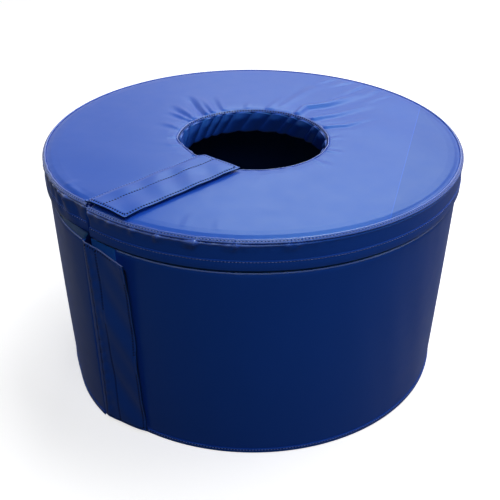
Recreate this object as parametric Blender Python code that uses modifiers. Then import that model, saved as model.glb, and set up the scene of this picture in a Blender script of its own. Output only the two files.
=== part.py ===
"""Pole pad: a foam ring with a foam lid, both covered in vinyl and split at the front.

The ring stands round the foot of a pole and the lid closes it, with a hole for the pole.
Lengths are in metres. The pad stands on z = 0, its axis is z, and its split faces -Y.
Each side of the split is half a turn, and the back line at +Y is where the pad bends open.
"""

import math

import bmesh
import bpy
from mathutils import Matrix, Vector

# Covers and fits
VINYL = 0.0007
CLEARANCE = 0.0003
WELT_RADIUS = 0.0011
SPLIT_GAP = 0.007

# Steps of a half turn: of the plain pieces, and of those with folds
STEPS = 36
FOLD_STEPS = 44

# Lid
LID_HEIGHT = 0.352
LID_RADIUS = 0.305
LID_THICKNESS = 0.041
LID_CROWN = 0.002
CROWN_WIDTH = 0.035
LID_RIM_ROUNDING = 0.005
LID_FOOT_ROUNDING = 0.003
HOLE_RADIUS = 0.110
HOLE_ROUNDING = 0.007
HOLE_PINCH = 0.004
PINCH_WIDTH = 0.035
HEM_HEIGHT = 0.014
LINING_FOLD = 0.0022
LINING_FOLDS = 22

# Ring wall: its top edge lies a little inside the lid's rim, and it narrows towards its foot
WALL_SETBACK = 0.003
WALL_TAPER = 0.0075
WALL_FOAM = 0.040
WALL_RIM_ROUNDING = 0.007
WALL_EDGE_ROUNDING = 0.003
FOOT_BAND_HEIGHT = 0.007
FOOT_BAND_LIFT = 0.0015

# The left end of the ring springs outwards at the split
SPRING_TOP = 0.0095
SPRING_FOOT = 0.013
SPRING_ANGLE = 24.0

# Flaps and their hook and loop tapes
FLAP_THICKNESS = 0.002
TAPE_THICKNESS = 0.0015
TAPE_MARGIN = 0.004
TOP_FLAP_ROOT = 0.0055
TOP_FLAP_WIDTH = 0.0735
TOP_FLAP_OVERHANG = 0.0115
TOP_FLAP_SETBACK = 0.008
TOP_FLAP_CORNER = 0.009
TOP_TAPE_WIDTH = 0.038
TOP_TAPE_END = 0.015
SIDE_FLAP_WIDTH = 0.076
SIDE_FLAP_LIFT = 0.005
SIDE_FLAP_DROP = 0.002
SIDE_FLAP_SLOPE = 0.012
SIDE_FLAP_STAND_TOP = 0.0085
SIDE_FLAP_STAND_FOOT = 0.0045
SIDE_TAPE_WIDTH = 0.050
SIDE_TAPE_END = 0.012
LOOP_TAPE_DROP = 0.014
LOOP_TAPE_LIFT = 0.020

# Sizes that follow
SKIN = VINYL + CLEARANCE
DOUBLED = 2 * VINYL
LID_BOTTOM = LID_HEIGHT - LID_THICKNESS
LID_TOP = LID_HEIGHT + LID_CROWN
WALL_HEIGHT = LID_BOTTOM - CLEARANCE
WALL_TOP_RADIUS = LID_RADIUS - WALL_SETBACK
WALL_FOOT_RADIUS = WALL_TOP_RADIUS - WALL_TAPER
SPLIT_EDGE = SPLIT_GAP / 2
TOP_FLAP_RAMP = TOP_FLAP_ROOT + SPLIT_EDGE + TAPE_MARGIN
TOP_FLAP_INNER = HOLE_RADIUS - TOP_FLAP_OVERHANG
TOP_FLAP_OUTER = LID_RADIUS - TOP_FLAP_SETBACK
HINGE_Y = LID_RADIUS + DOUBLED + 2 * CLEARANCE

# Folds of the lid's top: azimuth at the hole, azimuth at the far end, length, height
TOP_FOLDS = [
    (98, 89, 0.190, 0.0036),
    (82, 78, 0.120, 0.0028),
    (66, 68, 0.090, 0.0024),
    (114, 104, 0.160, 0.0018),
    (126, 116, 0.065, 0.0014),
    (154, 150, 0.050, 0.0014),
    (166, 160, 0.045, 0.0020),
    (174, 163, 0.060, 0.0028),
    (182, 174, 0.055, 0.0024),
    (194, 186, 0.045, 0.0022),
    (210, 202, 0.040, 0.0014),
    (18, 20, 0.030, 0.0012),
    (2, 0, 0.035, 0.0010),
]
FOLD_WIDTH = 0.008

VINYL_BLUE = (0.016, 0.047, 0.263)
LINING_BLUE = (0.008, 0.022, 0.110)
LOOP_BLUE = (0.010, 0.090, 0.330)
HOOK_NAVY = (0.006, 0.012, 0.050)
FOAM_GREY = (0.420, 0.430, 0.440)


def clear_scene():
    for old in list(bpy.data.objects):
        bpy.data.objects.remove(old, do_unlink=True)


def material(name, colour, roughness):
    made = bpy.data.materials.new(name)
    made.use_nodes = True
    shader = made.node_tree.nodes["Principled BSDF"]
    shader.inputs["Base Color"].default_value = (*colour, 1.0)
    shader.inputs["Roughness"].default_value = roughness
    shader.inputs["Metallic"].default_value = 0.0
    return made


# Profiles: an outline runs clockwise in the (radius, height) plane, from its inner top corner

def left_normal(start, end):
    along = (Vector(end) - Vector(start)).normalized()
    return Vector((-along.y, along.x))


def rounded(corners, margin):
    """Each corner's points, on a line at the margin outside the outline.

    A corner is (radius, height, rounding, steps); with no steps it stays a single mitred point.
    """
    turned_corners = []
    for index, (radius, height, rounding, steps) in enumerate(corners):
        here = Vector((radius, height))
        before = left_normal(corners[index - 1][:2], here)
        after = left_normal(here, corners[(index + 1) % len(corners)][:2])
        mitre = (before + after) / (1 + before.dot(after))
        if steps == 0:
            turned_corners.append([here + mitre * margin])
            continue
        centre = here - mitre * rounding
        start = math.atan2(before.y, before.x)
        sweep = math.atan2(after.y, after.x) - start
        if sweep > 0:
            sweep -= 2 * math.pi
        angles = [start + sweep * step / steps for step in range(steps + 1)]
        reach = rounding + margin
        points = [centre + reach * Vector((math.cos(a), math.sin(a))) for a in angles]
        turned_corners.append(points)
    return turned_corners


def trimmed(line, start=CLEARANCE / 2, end=CLEARANCE / 2):
    """The line with a little taken off each end, so that two panels never touch at a seam."""
    first = (line[1] - line[0]).normalized() * start
    last = (line[-2] - line[-1]).normalized() * end
    return [line[0] + first, *line[1:-1], line[-1] + last]


def divided(start, end, count):
    return [start.lerp(end, step / count) for step in range(1, count)]


def welt_profile(corner):
    """A round welt lying in the notch between the two covers that meet at a corner's middle."""
    before, middle, after = corner
    outward = (2 * middle - before - after).normalized()
    half_turn = left_normal(before, middle).angle(outward)
    centre = middle + outward * (SKIN + WELT_RADIUS) / math.cos(half_turn)
    sides = [-math.tau * side / 6 for side in range(6)]
    return [centre + WELT_RADIUS * Vector((math.cos(a), math.sin(a))) for a in sides]


def wall_corners():
    top = WALL_HEIGHT - SKIN
    top_radius = WALL_TOP_RADIUS - SKIN
    foot_radius = WALL_FOOT_RADIUS - SKIN
    return [
        (top_radius - WALL_FOAM, top, WALL_EDGE_ROUNDING, 2),
        (top_radius, top, WALL_RIM_ROUNDING, 2),
        (foot_radius, SKIN, WALL_EDGE_ROUNDING, 1),
        (foot_radius - WALL_FOAM, SKIN, WALL_EDGE_ROUNDING, 1),
    ]


def lid_corners():
    outer = LID_RADIUS - SKIN
    inner = HOLE_RADIUS + LINING_FOLD + SKIN
    bottom = LID_BOTTOM + SKIN
    return [
        (inner, LID_TOP - SKIN, HOLE_ROUNDING, 2),
        (LID_RADIUS - CROWN_WIDTH, LID_TOP - SKIN, 0.0, 0),
        (outer, LID_HEIGHT - SKIN, LID_RIM_ROUNDING, 2),
        (outer, bottom, LID_FOOT_ROUNDING, 1),
        (HOLE_RADIUS + PINCH_WIDTH, bottom, 0.0, 0),
        (inner, bottom + HOLE_PINCH, LID_FOOT_ROUNDING, 1),
    ]


# Half turns

def spring(azimuth, height):
    """How far the ring's left end stands out, by degrees from the split and height."""
    share = max(0.0, 1 - (azimuth + 90) / SPRING_ANGLE)
    full = SPRING_FOOT + (SPRING_TOP - SPRING_FOOT) * height / WALL_HEIGHT
    return full * share**1.6


def half_turn(name, line, closed, steps=STEPS):
    """The mesh that the profile sweeps from the split at -Y, past +X, to the back at +Y."""
    data = bpy.data.meshes.new(name)
    edges = [(index, index + 1) for index in range(len(line) - 1)]
    if closed:
        edges.append((len(line) - 1, 0))
    data.from_pydata([(0.0, -point.x, point.y) for point in line], edges, [])
    source = bpy.data.objects.new(name, data)
    bpy.context.scene.collection.objects.link(source)
    screw = source.modifiers.new("half_turn", "SCREW")
    screw.angle = math.pi
    screw.steps = steps
    screw.render_steps = steps
    screw.use_merge_vertices = False
    graph = bpy.context.evaluated_depsgraph_get()
    mesh = bpy.data.meshes.new_from_object(source.evaluated_get(graph))
    bpy.data.objects.remove(source)
    bpy.data.meshes.remove(data)
    return mesh


def settle(mesh, side, front_gap, springs, relief):
    """Moves each point from its plain half turn to its place on the given side of the split."""
    for vertex in mesh.vertices:
        radius = math.hypot(vertex.co.x, vertex.co.y)
        azimuth = math.degrees(math.atan2(vertex.co.y, vertex.co.x))
        height = vertex.co.z
        turn = (azimuth + 90) / 180
        if springs:
            radius += spring(azimuth, height)
        lead = math.asin(front_gap / radius)
        trail = math.asin(CLEARANCE / 2 / radius)
        angle = lead - math.pi / 2 + turn * (math.pi - lead - trail)
        if relief:
            true_azimuth = math.degrees(angle) if side > 0 else 180 - math.degrees(angle)
            radius, height = relief(radius, true_azimuth, height)
        vertex.co = (side * radius * math.cos(angle), radius * math.sin(angle), height)
    if side < 0:
        mesh.flip_normals()


def cap_ends(mesh):
    shape = bmesh.new()
    shape.from_mesh(mesh)
    open_edges = [edge for edge in shape.edges if edge.is_boundary]
    bmesh.ops.holes_fill(shape, edges=open_edges, sides=0)
    bmesh.ops.recalc_face_normals(shape, faces=shape.faces)
    shape.to_mesh(mesh)
    shape.free()


def add_part(name, mesh, finish, hinge=None):
    mesh.name = name
    mesh.materials.clear()
    mesh.materials.append(finish)
    mesh.shade_smooth()
    mesh.set_sharp_from_angle(angle=math.radians(35))
    part = bpy.data.objects.new(name, mesh)
    pad.objects.link(part)
    if hinge:
        part.parent = hinge
        part.matrix_parent_inverse = hinge.matrix_world.inverted()
    return part


def solid_half(name, line, side, finish, hinge, front_gap=None, springs=False):
    """A closed profile swept round one side: a foam block, or a welt."""
    mesh = half_turn(name, line, closed=True)
    settle(mesh, side, SPLIT_EDGE if front_gap is None else front_gap, springs, None)
    cap_ends(mesh)
    return add_part(name, mesh, finish, hinge)


def cover_half(name, line, side, finish, hinge, thickness=VINYL, springs=False, relief=None):
    """A panel of the cover: the line swept round one side and thickened outwards."""
    mesh = half_turn(name, line, closed=False, steps=FOLD_STEPS if relief else STEPS)
    settle(mesh, side, SPLIT_EDGE, springs, relief)
    part = add_part(name, mesh, finish, hinge)
    thicken(part, thickness)
    return part


def thicken(part, thickness):
    shell = part.modifiers.new("thickness", "SOLIDIFY")
    shell.thickness = thickness
    shell.offset = 1.0
    shell.use_even_offset = True


def end_panel(name, corners, side, finish, hinge, springs=False):
    """The flat panel that closes a half's end at the split, just inside the other covers."""
    outline = [point for corner in rounded(corners, 0.0) for point in corner]
    shape = bmesh.new()
    ring = []
    for point in outline:
        radius = point.x + (spring(-90.0, point.y) if springs else 0.0)
        depth = -math.sqrt(radius**2 - SPLIT_EDGE**2)
        ring.append(shape.verts.new((side * SPLIT_EDGE, depth, point.y)))
    face = shape.faces.new(ring)
    face.normal_update()
    if face.normal.x * side < 0:
        face.normal_flip()
    mesh = bpy.data.meshes.new(name)
    shape.to_mesh(mesh)
    shape.free()
    part = add_part(name, mesh, finish, hinge)
    thicken(part, VINYL)
    return part


# Soft forms

def top_relief(radius, azimuth, height):
    """Folds that run over the lid's top from the hole, where the lining draws the cover in."""
    rim = HOLE_RADIUS + LINING_FOLD + HOLE_ROUNDING
    lift = 0.0
    for at_hole, at_end, length, rise in TOP_FOLDS:
        along = (radius - rim) / length
        if not 0 < along < 1:
            continue
        turn = (azimuth - at_hole - (at_end - at_hole) * along + 180) % 360 - 180
        aside = math.radians(turn) * radius / FOLD_WIDTH
        swell = math.sin(math.pi * min(1.0, along**0.35))
        lift += rise * swell * math.exp(-aside * aside)
    return radius, height + lift


def lining_relief(radius, azimuth, height):
    """Upright gathers of the hole's lining, full at its foot and flat at its top seam."""
    top = LID_TOP - HOLE_ROUNDING
    share = max(0.0, min(1.0, (top - height) / (top - LID_BOTTOM - HOLE_PINCH)))
    gather = abs(math.sin(math.radians(azimuth + 90) * LINING_FOLDS / 2))
    return radius - LINING_FOLD * gather * share**0.5, height


def ring_wall(side, hinge):
    """One side of the ring: its foam, its cover's panels and its edge seams."""
    word = "left" if side < 0 else "right"
    springs = side < 0
    corners = wall_corners()
    inner_top, outer_top, outer_foot, inner_foot = rounded(corners, CLEARANCE)
    foam_line = [point for corner in rounded(corners, 0.0) for point in corner]
    made = {"side": side, "hinge": hinge, "springs": springs}
    solid_half("wall_foam_" + word, foam_line, finish=foam, front_gap=SPLIT_EDGE + SKIN, **made)
    outer_line = [outer_top[1], outer_top[2], outer_foot[0]]
    cover_half("wall_outer_panel_" + word, trimmed(outer_line), finish=vinyl, **made)
    inner_line = [inner_foot[1], inner_top[0]]
    cover_half("wall_inner_panel_" + word, trimmed(inner_line), finish=lining, **made)
    top_line = [*inner_top, outer_top[0], outer_top[1]]
    cover_half("wall_top_border_" + word, trimmed(top_line), finish=vinyl, **made)
    foot_line = [*outer_foot, *inner_foot]
    cover_half("wall_bottom_border_" + word, trimmed(foot_line), finish=vinyl, **made)
    solid_half("wall_top_welt_" + word, welt_profile(outer_top), finish=vinyl, **made)
    down = (outer_foot[0] - outer_top[2]).normalized()
    outside = outer_foot[0] + left_normal(outer_top[2], outer_foot[0]) * SKIN
    band_foot = outside + down * (outside.y - FOOT_BAND_LIFT) / -down.y
    band_line = [band_foot - down * FOOT_BAND_HEIGHT, band_foot]
    cover_half("wall_foot_band_" + word, band_line, finish=vinyl, thickness=DOUBLED, **made)
    end_panel("wall_end_panel_" + word, corners, finish=vinyl, **made)


def lid_half(side, hinge):
    """One side of the lid: its foam, its cover's panels and its seams."""
    word = "left" if side < 0 else "right"
    corners = lid_corners()
    hole_top, crown, rim, foot, pinch, hole_foot = rounded(corners, CLEARANCE)
    foam_line = [point for corner in rounded(corners, 0.0) for point in corner]
    made = {"side": side, "hinge": hinge}
    solid_half("lid_foam_" + word, foam_line, finish=foam, front_gap=SPLIT_EDGE + SKIN, **made)
    top_line = [hole_top[1], hole_top[2], *divided(hole_top[2], crown[0], 5), crown[0]]
    top_line += [rim[0], rim[1]]
    cover_half("lid_top_panel_" + word, trimmed(top_line), finish=vinyl, relief=top_relief, **made)
    boxing_line = [rim[1], rim[2], foot[0]]
    cover_half("lid_boxing_" + word, trimmed(boxing_line), finish=vinyl, **made)
    hem_radius = LID_RADIUS + CLEARANCE
    hem_line = [Vector((hem_radius, LID_BOTTOM + HEM_HEIGHT)), Vector((hem_radius, LID_BOTTOM))]
    cover_half("lid_hem_band_" + word, trimmed(hem_line), finish=vinyl, thickness=DOUBLED, **made)
    under_line = [*foot, pinch[0], hole_foot[0]]
    cover_half("lid_underside_panel_" + word, trimmed(under_line), finish=lining, **made)
    lining_line = [*hole_foot, *divided(hole_foot[1], hole_top[0], 2), hole_top[0], hole_top[1]]
    cover_half("lid_hole_lining_" + word, trimmed(lining_line), finish=lining,
               relief=lining_relief, **made)
    solid_half("lid_rim_welt_" + word, welt_profile(rim), finish=vinyl, **made)
    solid_half("lid_hole_welt_" + word, welt_profile(hole_top), finish=vinyl, **made)
    end_panel("lid_end_panel_" + word, corners, finish=vinyl, **made)


# Flaps

def sheet_part(name, rows, finish, hinge, thickness, outward):
    """A sheet through rows of points of equal length, thickened to the outward side."""
    shape = bmesh.new()
    grid = [[shape.verts.new(point) for point in row] for row in rows]
    for row, following in zip(grid, grid[1:]):
        for index in range(len(row) - 1):
            shape.faces.new((row[index], row[index + 1], following[index + 1], following[index]))
    shape.normal_update()
    if sum((face.normal for face in shape.faces), Vector()).dot(outward) < 0:
        bmesh.ops.reverse_faces(shape, faces=shape.faces)
    mesh = bpy.data.meshes.new(name)
    shape.to_mesh(mesh)
    shape.free()
    part = add_part(name, mesh, finish, hinge)
    thicken(part, thickness)
    return part


def top_flap_row(along):
    """Points along the top flap at a distance from its root, raised over the tapes below it."""
    share = min(1.0, along / TOP_FLAP_RAMP)
    rise = 2 * (TAPE_THICKNESS + CLEARANCE) * share * share * (3 - 2 * share)
    height = LID_TOP + CLEARANCE + rise
    beyond = max(0.0, along - TOP_FLAP_WIDTH + TOP_FLAP_CORNER)
    inner = TOP_FLAP_INNER + TOP_FLAP_CORNER - math.sqrt(TOP_FLAP_CORNER**2 - beyond**2)
    x = along - TOP_FLAP_ROOT
    return [(x, -y, height) for y in (TOP_FLAP_OUTER, (TOP_FLAP_OUTER + inner) / 2, inner)]


def top_flap(hinge):
    """The flap over the lid's split, with its hook tape, and the loop tape on the lid."""
    up = Vector((0, 0, 1))
    corner_start = TOP_FLAP_WIDTH - TOP_FLAP_CORNER
    stations = [TOP_FLAP_RAMP * share for share in (0.0, 0.2, 0.4, 0.6, 0.8, 1.0)]
    stations += [corner_start + TOP_FLAP_CORNER * share for share in (0.0, 0.5, 0.8, 0.95, 1.0)]
    rows = [top_flap_row(along) for along in stations]
    sheet_part("top_flap", rows, vinyl, hinge, FLAP_THICKNESS, up)
    tape_end = TOP_FLAP_WIDTH - TOP_FLAP_ROOT - TAPE_MARGIN
    inner = HOLE_RADIUS + TOP_TAPE_END
    outer = TOP_FLAP_OUTER - TOP_TAPE_END
    loop_height = LID_TOP + CLEARANCE
    hook_height = loop_height + TAPE_THICKNESS + CLEARANCE
    for name, height, finish, carrier in (
        ("top_hook_tape", hook_height, hook, hinge),
        ("top_loop_tape", loop_height, loop, pad_hinge),
    ):
        corners = [[(x, -outer, height), (x, -inner, height)]
                   for x in (tape_end - TOP_TAPE_WIDTH, tape_end)]
        sheet_part(name, corners, finish, carrier, TAPE_THICKNESS, up)


def wall_radius(height):
    """The ring's outer radius at a height, on its cover."""
    return WALL_FOOT_RADIUS + (WALL_TOP_RADIUS - WALL_FOOT_RADIUS) * height / WALL_HEIGHT


def on_circle(x, radius, height):
    return Vector((x, -math.sqrt(radius**2 - x**2), height))


def side_flap_root(height):
    """The flap's sewn edge, on the ring's left end beside the split."""
    return on_circle(-SPLIT_EDGE, wall_radius(height) + spring(-90.0, height) + CLEARANCE, height)


def side_flap_point(along, share, inset=0.0):
    """A point of the flap's inner face, by distance from the root and share of its height."""
    foot = SIDE_FLAP_LIFT
    top = WALL_HEIGHT - SIDE_FLAP_DROP
    root = side_flap_root(foot).lerp(side_flap_root(top), share)
    bend = side_flap_bend(foot).lerp(side_flap_bend(top), share)
    free_foot = free_edge(foot, SIDE_FLAP_STAND_FOOT)
    free = free_foot.lerp(free_edge(top - SIDE_FLAP_SLOPE, SIDE_FLAP_STAND_TOP), share)
    near = (bend - root).length
    if along <= near:
        point = root.lerp(bend, along / near)
    else:
        point = bend + (free - bend).normalized() * (along - near)
    return point + outward_of(root, free) * -inset


def side_flap_bend(height):
    """Where the flap leaves the ring's left end and crosses the split."""
    return on_circle(SPLIT_EDGE, side_flap_root(height).xy.length, height)


def free_edge(height, stand):
    """The flap's free edge, standing off the ring's right side."""
    return on_circle(SIDE_FLAP_WIDTH - SPLIT_EDGE, wall_radius(height) + stand, height)


def outward_of(root, free):
    across = (free - root).normalized()
    return across.cross(Vector((0, 0, 1))).normalized()


def side_flap(hinge):
    """The flap over the ring's split, with its hook tape, and the loop tape on the ring."""
    out = Vector((0, -1, 0))
    heights = [step / 6 for step in range(7)]
    across = [0.0, 2 * SPLIT_EDGE, 0.25 * SIDE_FLAP_WIDTH, 0.6 * SIDE_FLAP_WIDTH, SIDE_FLAP_WIDTH]
    rows = [[side_flap_point(along, share) for share in heights] for along in across]
    sheet_part("side_flap", rows, vinyl, hinge, FLAP_THICKNESS, out)
    far = SIDE_FLAP_WIDTH - TAPE_MARGIN
    margin = SIDE_TAPE_END / WALL_HEIGHT
    spans = [margin + (1 - 2 * margin) * share for share in heights]
    inset = TAPE_THICKNESS + CLEARANCE
    tape = [[side_flap_point(along, share, inset) for share in spans]
            for along in (far - SIDE_TAPE_WIDTH, far - SIDE_TAPE_WIDTH / 2, far)]
    sheet_part("side_hook_tape", tape, hook, hinge, TAPE_THICKNESS, out)
    bottom = LOOP_TAPE_LIFT
    top = WALL_HEIGHT - LOOP_TAPE_DROP
    columns = []
    for step in range(9):
        x = SPLIT_EDGE + CLEARANCE + SIDE_TAPE_WIDTH * step / 8
        columns.append([on_circle(x, wall_radius(height) + CLEARANCE, height)
                        for height in (bottom, (bottom + top) / 2, top)])
    sheet_part("side_loop_tape", columns, loop, pad_hinge, TAPE_THICKNESS, out)


def empty(name, place, along=None):
    """An empty on a joint's axis, its own z along the axis."""
    made = bpy.data.objects.new(name, None)
    pad.objects.link(made)
    turn = along.to_track_quat("Z", "Y").to_matrix().to_4x4() if along else Matrix()
    made.matrix_world = Matrix.Translation(place) @ turn
    return made


clear_scene()
pad = bpy.data.collections.new("pole_pad")
bpy.context.scene.collection.children.link(pad)

vinyl = material("royal_blue_vinyl", VINYL_BLUE, 0.38)
lining = material("navy_lining_vinyl", LINING_BLUE, 0.45)
foam = material("grey_foam", FOAM_GREY, 0.95)
hook = material("navy_hook_tape", HOOK_NAVY, 0.70)
loop = material("blue_loop_tape", LOOP_BLUE, 0.95)

pad_hinge = empty("pad_hinge", Vector((0, HINGE_Y, 0)))
top_axis = Vector((-TOP_FLAP_ROOT, -TOP_FLAP_OUTER, LID_TOP + CLEARANCE + FLAP_THICKNESS))
top_flap_hinge = empty("top_flap_hinge", top_axis, Vector((0, -1, 0)))
root_foot = side_flap_root(SIDE_FLAP_LIFT)
root_top = side_flap_root(WALL_HEIGHT - SIDE_FLAP_DROP)
root_out = Vector((0, -FLAP_THICKNESS, 0))
side_flap_hinge = empty("side_flap_hinge", root_top + root_out, root_foot - root_top)
bpy.context.view_layer.update()

ring_wall(-1, None)
ring_wall(1, pad_hinge)
lid_half(-1, None)
lid_half(1, pad_hinge)
top_flap(top_flap_hinge)
side_flap(side_flap_hinge)
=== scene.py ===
"""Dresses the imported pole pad: its padded ring and lid, seams, flaps, tapes, thread and stage.

Every piece is in metres, in the pad's own frame: z is up, the split faces -Y and azimuths are
degrees about z, from -90 at the split's right side to 270 at its left side.
"""

import math

import bpy
import numpy as np
from bpy.props import FloatProperty, FloatVectorProperty, PointerProperty
from mathutils import Matrix, Vector
from mathutils.bvhtree import BVHTree


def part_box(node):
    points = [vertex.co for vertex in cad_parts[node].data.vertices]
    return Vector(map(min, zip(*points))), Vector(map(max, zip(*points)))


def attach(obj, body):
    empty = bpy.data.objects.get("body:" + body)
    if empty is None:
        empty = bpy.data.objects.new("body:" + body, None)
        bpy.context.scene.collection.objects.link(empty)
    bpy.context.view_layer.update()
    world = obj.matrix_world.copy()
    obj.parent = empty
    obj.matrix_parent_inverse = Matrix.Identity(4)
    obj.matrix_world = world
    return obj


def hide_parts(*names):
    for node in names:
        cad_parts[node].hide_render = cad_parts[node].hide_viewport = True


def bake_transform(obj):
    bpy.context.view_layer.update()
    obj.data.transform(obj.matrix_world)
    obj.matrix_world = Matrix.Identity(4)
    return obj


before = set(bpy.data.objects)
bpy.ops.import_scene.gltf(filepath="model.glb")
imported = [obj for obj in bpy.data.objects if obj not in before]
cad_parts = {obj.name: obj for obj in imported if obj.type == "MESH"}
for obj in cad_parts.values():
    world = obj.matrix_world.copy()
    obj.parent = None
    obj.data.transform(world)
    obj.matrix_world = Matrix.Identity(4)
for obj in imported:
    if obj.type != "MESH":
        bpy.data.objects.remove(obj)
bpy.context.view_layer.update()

bl_info = {
    "name": "Pole pad",
    "version": (1, 0, 0),
    "blender": (4, 5, 0),
    "location": "View3D > Sidebar > Pole pad",
    "description": "Padded ring and lid in coated cloth, with flaps, tapes and stitching",
    "category": "Object",
}

MM = 0.001

# Azimuths where the pad's three sections meet, and half the width of the part that bends
RIGHT_END, BACK_START, BACK_END, LEFT_END = -90.0, 25.0, 155.0, 270.0
SIDES = {"right": (RIGHT_END, BACK_START), "back": (BACK_START, BACK_END),
         "left": (BACK_END, LEFT_END)}

# Thicknesses that lie between the frame's boxes and the cloth that is drawn here
COVER = 1.0 * MM
HOLE_WELT = 4.4 * MM
FOOT_BAND = 2.0 * MM
WALL_FOAM = 40 * MM

# Sizes that the frame gives
SPLIT_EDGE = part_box("lid_end_panel_right")[0].x
LID_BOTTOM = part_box("lid_underside_panel_right")[0].z
LID_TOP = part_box("lid_foam_right")[1].z + COVER
LID_RADIUS = -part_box("lid_boxing_right")[0].y
HOLE_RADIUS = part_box("lid_hole_welt_right")[1].x - HOLE_WELT
WALL_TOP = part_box("wall_top_border_right")[1].z
WALL_TOP_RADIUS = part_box("wall_outer_panel_right")[1].x
WALL_FOOT_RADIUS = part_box("wall_foot_band_right")[1].x - FOOT_BAND

# The lid's flap, and how far its stitch rows lie from its edges, its seam and its root
TOP_FLAP_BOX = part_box("top_flap")
TOP_FLAP_ROOT = -TOP_FLAP_BOX[0].x
TOP_FLAP_WIDTH = TOP_FLAP_BOX[1].x + TOP_FLAP_ROOT
TOP_FLAP_OUTER = -TOP_FLAP_BOX[0].y
TOP_FLAP_INNER = -TOP_FLAP_BOX[1].y
TOP_FLAP_LENGTH = TOP_FLAP_OUTER - TOP_FLAP_INNER
TOP_FLAP_FOOT = TOP_FLAP_BOX[0].z
EDGE_ROW = 3.6 * MM
ROOT_ROW = 3.4 * MM
TAPE_ROW = 30.5 * MM

# The ring's flap: its foot, its top edge below the ring's, its cloth and its free edge's place
SIDE_FLAP_FOOT = 5 * MM
SIDE_FLAP_DROP = 6.5 * MM
SIDE_FLAP_TALL = WALL_TOP - SIDE_FLAP_FOOT - SIDE_FLAP_DROP
SIDE_FLAP_WIDTH = 76 * MM
SIDE_FLAP_REACH = 72.5 * MM
# Its stitch rows: along its free edge, and along its tape at the foot and at the top
FREE_ROW = 72.5 * MM
TAPE_ROW_FOOT = 31.5 * MM
TAPE_ROW_TOP = 24 * MM

# The flaps' doubled cloth, the tapes, and the space that the ring's tapes leave round them
DOUBLED = 2.0 * MM
TAPE = 1.3 * MM
LID_TAPE_WIDTH = 38 * MM
LID_TAPE_LENGTH = 155 * MM
RING_TAPE_WIDTH = 50 * MM
HOOKS_FROM_ROOT = 22 * MM
HOOKS_FROM_ENDS = 12 * MM
HOOKS_LENGTH = SIDE_FLAP_TALL - 2 * HOOKS_FROM_ENDS
LOOPS_FOOT = 20 * MM
LOOPS_LENGTH = WALL_TOP - LOOPS_FOOT - 4.5 * MM
# The photograph shows this share of the ring's loop tape's width
LOOPS_SHOWN = 0.88

# The weld across the right of the lid's top: its normal's azimuth, its distance from the axis,
# and half of its width
WELD_TURN = math.radians(29.6)
WELD_AWAY = 0.7455 * LID_RADIUS
WELD_HALF = 0.5 * MM

# The camera's place in lid radii, and its three turns in degrees, fitted to the photograph
CAMERA_PLACE = (2.66482, -2.73552, 2.7824)
CAMERA_HEADING, CAMERA_TILT, CAMERA_ROLL = 44.4253, 55.999, 0.1954


def linear(hex_colour):
    """An sRGB hex colour as linear red, green and blue."""
    channels = [int(hex_colour[i : i + 2], 16) / 255 for i in (1, 3, 5)]
    return [c / 12.92 if c <= 0.04045 else ((c + 0.055) / 1.055) ** 2.4 for c in channels]


def level_prop(name, description, default, **limits):
    return FloatProperty(name=name, description=description, default=default, min=0.0, **limits)


def size_prop(name, description, default_mm):
    return level_prop(name, description, default_mm * MM, unit="LENGTH")


def colour_prop(name, description, hex_colour):
    return FloatVectorProperty(name=name, description=description, default=linear(hex_colour),
                               min=0.0, max=1.0, subtype="COLOR")


class PadSizes(bpy.types.PropertyGroup):
    """Sizes of the soft goods that the frame doesn't give."""

    stitch: size_prop("Stitch length", "From one needle hole to the next", 4.4)
    thread: size_prop("Thread", "Thickness of the sewing thread as it shows", 1.1)
    welt: size_prop("Welt", "Half the thickness of the rolled seam at the lid's rim", 1.8)
    fold: size_prop("Folds", "Height of the tallest fold in the lid's top", 3.4)
    gather: size_prop("Gathers", "Depth of the lining's gathers in the pole hole", 4.4)
    lid_end: size_prop("Lid's ends", "Radius of the lid's edges at the split", 6.0)
    ring_end: size_prop("Ring's ends", "Radius of the ring's edges at the split", 2.5)


class PadColours(bpy.types.PropertyGroup):
    """Colours of the cloth, thread and tape."""

    vinyl: colour_prop("Vinyl", "Coated cloth of the covers and flaps", "#2155cc")
    # The same navy is painted on the ring's top edge as shade under the lid
    lining: colour_prop("Lining", "Coated cloth inside the ring and under the lid", "#081f60")
    thread: colour_prop("Thread", "Bonded polyester thread", "#8c9ade")
    loop: colour_prop("Loop tape", "Brushed nylon", "#2f88ff")
    hook: colour_prop("Hook tape", "Woven nylon with moulded hooks", "#141d40")
    # A pale colour painted on the ring flap's upper edge as its highlight
    edge_highlight: colour_prop("Worn edge", "Coated cloth that hands have rubbed pale", "#899be1")


class StageLook(bpy.types.PropertyGroup):
    """Lamps and floor."""

    key: level_prop("Key", "Softbox behind the pad that the lid's top shows", 17.0, unit="POWER")
    upper: level_prop("Upper", "Softbox above the pad's right", 31.0, unit="POWER")
    front: level_prop("Front", "Softbox at the pad's front", 12.5, unit="POWER")
    side: level_prop("Side", "Softbox at the pad's right", 5.0, unit="POWER")
    fill: level_prop("Fill", "Strength of the room's light", 0.015)
    glow: level_prop("Floor glow", "Light that the floor is seen to give", 0.68)
    shown: level_prop("Floor in the cloth", "Share of the floor that the cloth's shine shows",
                      0.13, max=1.0)
    floor: colour_prop("Floor", "Pale seamless floor", "#f4f4f4")
    shade: colour_prop("Floor bounce", "What the floor gives back to the pad", "#4a4a4a")


# Materials


def feed(tree, node, inputs):
    """Gives a node's inputs, by name or number, each a value or a link from (node, output)."""
    for key, given in inputs.items():
        if isinstance(given, tuple) and isinstance(given[0], bpy.types.Node):
            tree.links.new(given[0].outputs[given[1]], node.inputs[key])
        else:
            node.inputs[key].default_value = given


def add_node(tree, kind, inputs=None, **settings):
    """Adds a shader node with its settings, and then its inputs."""
    node = tree.nodes.new(kind)
    for key, value in settings.items():
        setattr(node, key, value)
    feed(tree, node, inputs or {})
    return node


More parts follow.
